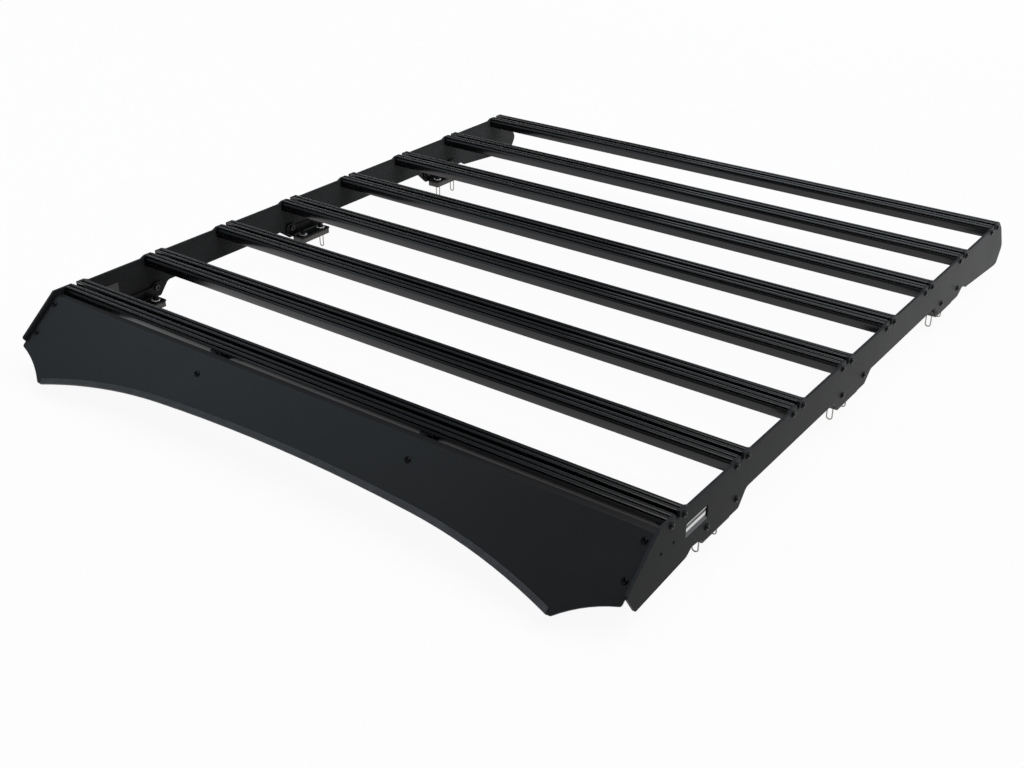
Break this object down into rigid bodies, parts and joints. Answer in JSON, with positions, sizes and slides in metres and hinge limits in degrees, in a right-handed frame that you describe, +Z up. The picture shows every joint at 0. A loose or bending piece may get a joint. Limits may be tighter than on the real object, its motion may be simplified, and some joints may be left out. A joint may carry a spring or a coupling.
{
  "type": "flat platform roof rack",
  "caption": "Flat platform roof rack: grooved T-slot slats between two cut side rails, arched wind fairing in front, bracket feet with pads and wire clips below.",
  "frame": {"origin": "on the floor under the middle of the rack's overall box, at the lowest points of the wire clips", "axes": "-Y to the front of the vehicle, where the fairing is, +X to the vehicle's left, +Z up; left and right are those of someone facing the front"},
  "size_m": [1.254, 1.5112, 0.1315],
  "materials": {
    "rail_coat": "fine-textured black powder coat on cut sheet",
    "slat_coat": "fine-textured black powder coat on extrusion",
    "fairing_coat": "fine-textured black powder coat on sheet",
    "bracket_steel": "black powder coat on bent plate",
    "trim_rubber": "matt black rubber channel",
    "pad_rubber": "matt brown-grey rubber",
    "clip_wire": "bright zinc-plated wire"
  },
  "bodies": {
    "root": {"left_side_rail": "rail_coat", "right_side_rail": "rail_coat", "slat_1": "slat_coat", "slat_2": "slat_coat", "slat_3": "slat_coat", "slat_4": "slat_coat", "slat_5": "slat_coat", "slat_6": "slat_coat", "slat_7": "slat_coat", "slat_8": "slat_coat", "wind_fairing": "fairing_coat", "fairing_edge_trim": "trim_rubber", "left_fairing_end_bracket": "bracket_steel", "left_fairing_centre_bracket": "bracket_steel", "front_left_foot_bracket": "bracket_steel", "front_left_foot_pad": "pad_rubber", "front_left_wire_clips": "clip_wire", "middle_left_foot_bracket": "bracket_steel", "middle_left_foot_pad": "pad_rubber", "middle_left_wire_clips": "clip_wire", "rear_left_foot_bracket": "bracket_steel", "rear_left_foot_pad": "pad_rubber", "rear_left_wire_clips": "clip_wire", "right_fairing_end_bracket": "bracket_steel", "right_fairing_centre_bracket": "bracket_steel", "front_right_foot_bracket": "bracket_steel", "front_right_foot_pad": "pad_rubber", "front_right_wire_clips": "clip_wire", "middle_right_foot_bracket": "bracket_steel", "middle_right_foot_pad": "pad_rubber", "middle_right_wire_clips": "clip_wire", "rear_right_foot_bracket": "bracket_steel", "rear_right_foot_pad": "pad_rubber", "rear_right_wire_clips": "clip_wire"}
  },
  "joints": []
}
